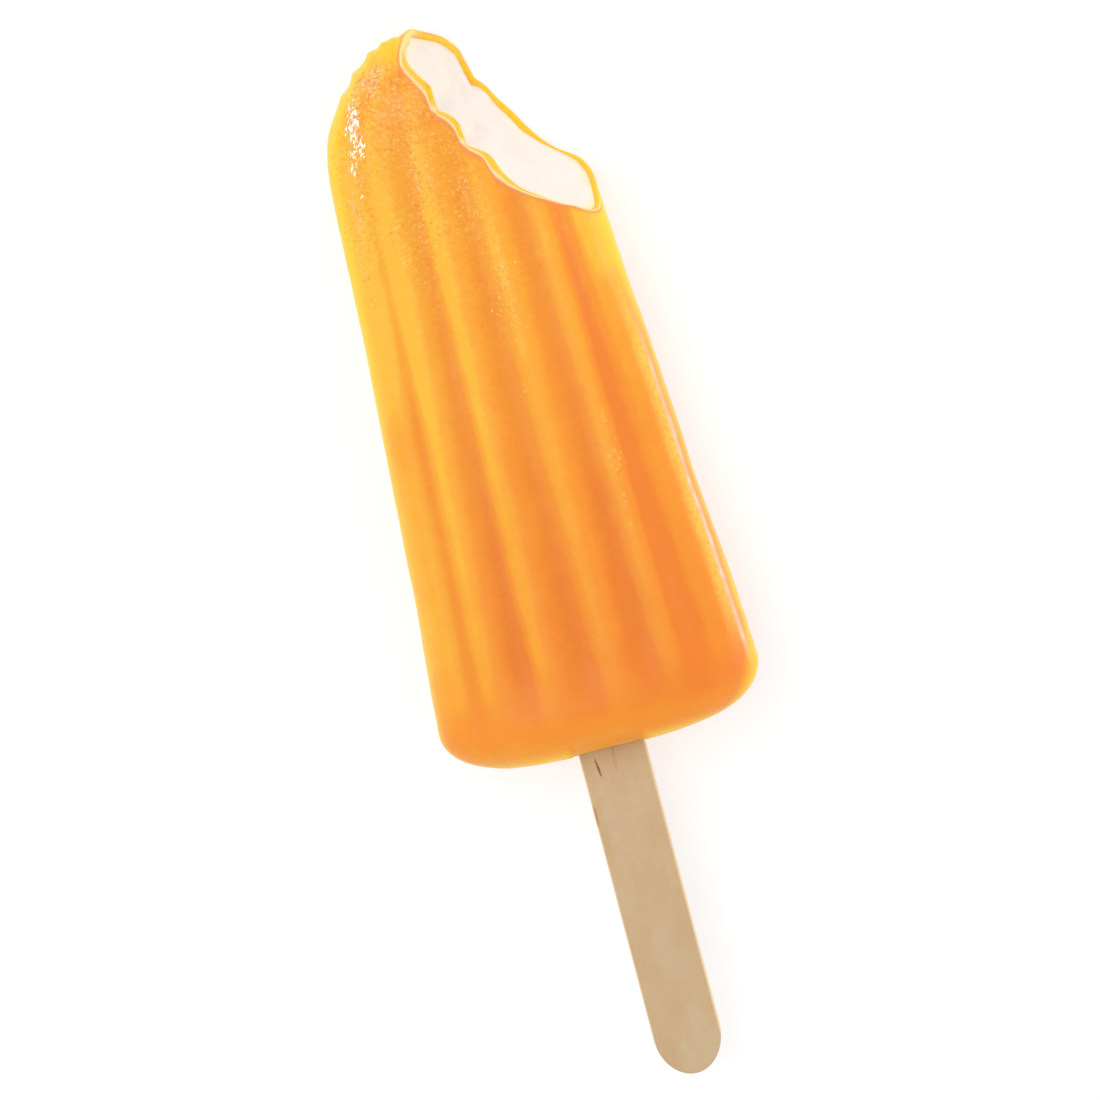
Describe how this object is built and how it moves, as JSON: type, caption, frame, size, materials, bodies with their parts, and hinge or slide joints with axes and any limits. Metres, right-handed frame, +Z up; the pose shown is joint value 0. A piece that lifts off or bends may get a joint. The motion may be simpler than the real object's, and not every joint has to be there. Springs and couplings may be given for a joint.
{
  "type": "ice lolly",
  "caption": "Fluted ice lolly lying on its back on a flat wooden stick, with an orange fruit ice coat round a white ice cream core and a bite out of the tip.",
  "frame": {"origin": "middle of the lying lolly's box, on the floor under it", "axes": "+X across the lolly, +Y along it from the stick to the bitten tip, +Z up out of the shown front"},
  "size_m": [0.0482, 0.1606, 0.0219],
  "materials": {
    "orange_ice": "frosty, half-clear orange fruit ice",
    "ice_cream": "smooth, creamy white ice cream",
    "stick_wood": "plain pale wood, sanded"
  },
  "bodies": {
    "root": {"shell": "orange_ice", "core": "ice_cream", "stick": "stick_wood"}
  },
  "joints": []
}
